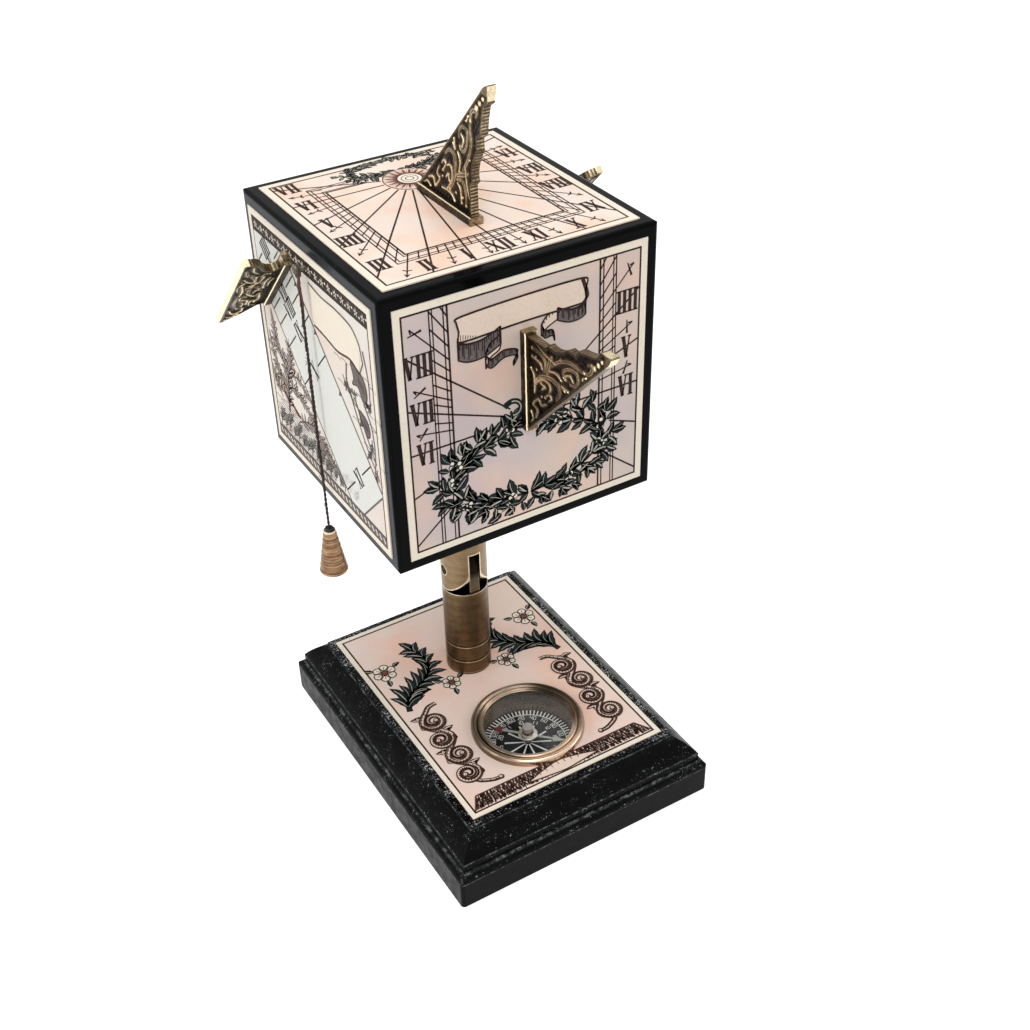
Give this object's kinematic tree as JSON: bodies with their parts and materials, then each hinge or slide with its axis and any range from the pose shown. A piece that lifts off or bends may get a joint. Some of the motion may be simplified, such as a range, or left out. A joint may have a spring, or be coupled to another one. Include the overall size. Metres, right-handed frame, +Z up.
{
  "type": "pedestal sundial",
  "caption": "Cube sundial on a tilting post: dials with cast gnomons on its sides, a plumb line, and a compass let into a moulded wooden base.",
  "frame": {"origin": "centre of the base's underside", "axes": "+Z up, +X to the right seen from the front, +Y to the back; the front is the north dial's side"},
  "size_m": [0.1426, 0.2078, 0.2887],
  "materials": {
    "black_wood": "black painted, satin, lightly worn",
    "black_lacquer": "gloss black lacquer",
    "felt": "dark green felt",
    "print_base": "printed sheet, satin, peach pink with dark line work",
    "print_dial": "printed sheet, satin, peach and lilac pink with dark line work",
    "antique_brass": "antique brass, brushed round, dark in its grooves",
    "pale_brass": "antique brass, lighter, brushed round",
    "cast_brass": "antique cast brass, dark in the recesses and worn bright on the highs",
    "gilt_brass": "golden satin brass",
    "bronze": "coppery bronze, turned",
    "steel": "plain zinc-plated steel",
    "glass": "clear glass",
    "compass_card": "black with white divisions",
    "needle_paint": "painted red at its north half and white at its south half",
    "cord": "twisted dark brown cord",
    "black_plug": "matt black"
  },
  "bodies": {
    "base": {"base_plinth": "black_wood", "felt_pad": "felt", "base_print": "print_base", "post": "antique_brass", "post_bolt": "steel", "post_washer": "steel", "compass_case": "antique_brass", "compass_bezel": "gilt_brass", "compass_glass": "glass", "compass_dial": "compass_card", "compass_pivot": "steel"},
    "needle": {"compass_needle": "needle_paint", "needle_cap": "gilt_brass"},
    "head": {"head_fork": "pale_brass", "knuckle_pin": "antique_brass", "head_stud": "steel", "head_washer": "steel", "head_nut": "steel", "cube_shell": "black_lacquer", "cube_floor": "black_lacquer", "dial_top": "print_dial", "dial_north": "print_dial", "dial_south": "print_dial", "dial_east": "print_dial", "dial_west": "print_dial", "gnomon_top": "cast_brass", "gnomon_north": "cast_brass", "gnomon_south": "cast_brass", "gnomon_east": "cast_brass", "gnomon_west": "cast_brass", "plumb_peg": "antique_brass"},
    "line_top": {"cord_loop": "cord"},
    "line": {"plumb_cord": "cord", "plumb_bob": "bronze", "bob_plug": "black_plug"}
  },
  "joints": [
    {"name": "needle_spin", "type": "hinge", "parent": "base", "child": "needle", "pos_m": [0, -0.0285, 0.0238], "axis": [0, 0, 1], "continuous": true},
    {"name": "head_tilt", "type": "hinge", "parent": "base", "child": "head", "pos_m": [0, 0.0193, 0.0821], "axis": [1, 0, 0], "range_deg": [-60, 60]},
    {"name": "plumb_swing", "type": "hinge", "parent": "head", "child": "line_top", "pos_m": [-0.056, 0.0193, 0.228], "axis": [1, 0, 0], "range_deg": [-25, 25]},
    {"name": "plumb_lift", "type": "hinge", "parent": "line_top", "child": "line", "pos_m": [-0.056, 0.0193, 0.22602], "axis": [0, 1, 0], "range_deg": [-1.2, 70]}
  ]
}
